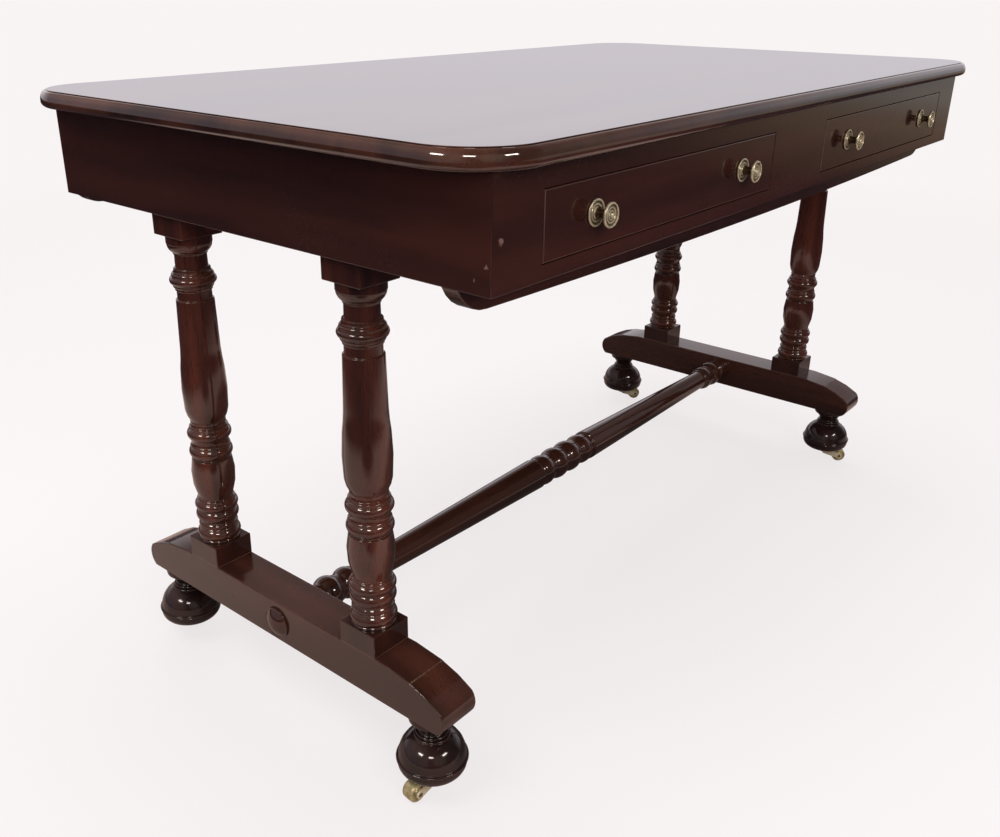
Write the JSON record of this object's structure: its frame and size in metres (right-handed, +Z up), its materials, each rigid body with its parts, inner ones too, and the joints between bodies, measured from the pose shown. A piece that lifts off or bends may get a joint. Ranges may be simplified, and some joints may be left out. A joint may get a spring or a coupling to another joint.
{
  "type": "library table",
  "caption": "Long writing table with a moulded top, frieze drawers, turned end supports on sled feet, a turned stretcher and brass casters.",
  "frame": {"origin": "on the floor under the middle of the table", "axes": "+X along the table to the right of someone who faces the drawers, +Y away from the drawers towards the back, +Z up"},
  "size_m": [1.272, 0.712, 0.74],
  "materials": {
    "mahogany_top": "polished",
    "mahogany": "polished",
    "drawer_lining": "waxed",
    "pine": "raw",
    "brass": "polished",
    "steel": "plain"
  },
  "bodies": {
    "table": {"bolt_covers": "mahogany", "bun_foot_back_left": "mahogany", "bun_foot_back_right": "mahogany", "bun_foot_front_left": "mahogany", "bun_foot_front_right": "mahogany", "caster_plates": "brass", "column_back_left": "mahogany", "column_back_right": "mahogany", "column_front_left": "mahogany", "column_front_right": "mahogany", "column_screws": "steel", "drawer_guides": "pine", "frieze_back": "mahogany", "frieze_end_left": "mahogany", "frieze_end_right": "mahogany", "front_bottom_rail": "mahogany", "front_stile_centre": "mahogany", "front_stile_left": "mahogany", "front_stile_right": "mahogany", "front_top_rail": "mahogany", "glue_blocks": "pine", "runner_centre": "pine", "runner_left": "pine", "runner_right": "pine", "sled_left": "mahogany", "sled_right": "mahogany", "stretcher": "mahogany", "stretcher_bolts": "steel", "table_top": "mahogany_top", "under_rail_back": "mahogany", "under_rail_front": "mahogany"},
    "drawer_left": {"backplates_left": "brass", "drawer_left_back": "drawer_lining", "drawer_left_bottom": "drawer_lining", "drawer_left_front": "mahogany", "drawer_left_side_inner": "drawer_lining", "drawer_left_side_outer": "drawer_lining", "knob_left_inner": "brass", "knob_left_outer": "brass"},
    "drawer_right": {"backplates_right": "brass", "drawer_right_back": "drawer_lining", "drawer_right_bottom": "drawer_lining", "drawer_right_front": "mahogany", "drawer_right_side_inner": "drawer_lining", "drawer_right_side_outer": "drawer_lining", "knob_right_inner": "brass", "knob_right_outer": "brass"},
    "caster_swivel_front_left": {"caster_horn_front_left": "brass", "caster_axle_front_left": "brass"},
    "caster_roller_front_left": {"caster_wheel_front_left": "brass"},
    "caster_swivel_back_left": {"caster_horn_back_left": "brass", "caster_axle_back_left": "brass"},
    "caster_roller_back_left": {"caster_wheel_back_left": "brass"},
    "caster_swivel_front_right": {"caster_horn_front_right": "brass", "caster_axle_front_right": "brass"},
    "caster_roller_front_right": {"caster_wheel_front_right": "brass"},
    "caster_swivel_back_right": {"caster_horn_back_right": "brass", "caster_axle_back_right": "brass"},
    "caster_roller_back_right": {"caster_wheel_back_right": "brass"}
  },
  "joints": [
    {"name": "drawer_left_slide", "type": "slide", "parent": "table", "child": "drawer_left", "axis": [0, -1, 0], "range_m": [0, 0.42]},
    {"name": "drawer_right_slide", "type": "slide", "parent": "table", "child": "drawer_right", "axis": [0, -1, 0], "range_m": [0, 0.42]},
    {"name": "caster_front_left_swivel", "type": "hinge", "parent": "table", "child": "caster_swivel_front_left", "pos_m": [-0.5645, -0.23, 0.026], "axis": [0, 0, 1], "continuous": true},
    {"name": "caster_front_left_roll", "type": "hinge", "parent": "caster_swivel_front_left", "child": "caster_roller_front_left", "pos_m": [-0.59235, -0.22707, 0.012], "axis": [-0.1045, -0.9945, 0], "continuous": true},
    {"name": "caster_back_left_swivel", "type": "hinge", "parent": "table", "child": "caster_swivel_back_left", "pos_m": [-0.5645, 0.23, 0.026], "axis": [0, 0, 1], "continuous": true},
    {"name": "caster_back_left_roll", "type": "hinge", "parent": "caster_swivel_back_left", "child": "caster_roller_back_left", "pos_m": [-0.5505, 0.25425, 0.012], "axis": [-0.866, 0.5, 0], "continuous": true},
    {"name": "caster_front_right_swivel", "type": "hinge", "parent": "table", "child": "caster_swivel_front_right", "pos_m": [0.5645, -0.23, 0.026], "axis": [0, 0, 1], "continuous": true},
    {"name": "caster_front_right_roll", "type": "hinge", "parent": "caster_swivel_front_right", "child": "caster_roller_front_right", "pos_m": [0.58016, -0.25321, 0.012], "axis": [0.829, 0.5592, 0], "continuous": true},
    {"name": "caster_back_right_swivel", "type": "hinge", "parent": "table", "child": "caster_swivel_back_right", "pos_m": [0.5645, 0.23, 0.026], "axis": [0, 0, 1], "continuous": true},
    {"name": "caster_back_right_roll", "type": "hinge", "parent": "caster_swivel_back_right", "child": "caster_roller_back_right", "pos_m": [0.58771, 0.21434, 0.012], "axis": [0.5592, 0.829, 0], "continuous": true}
  ]
}
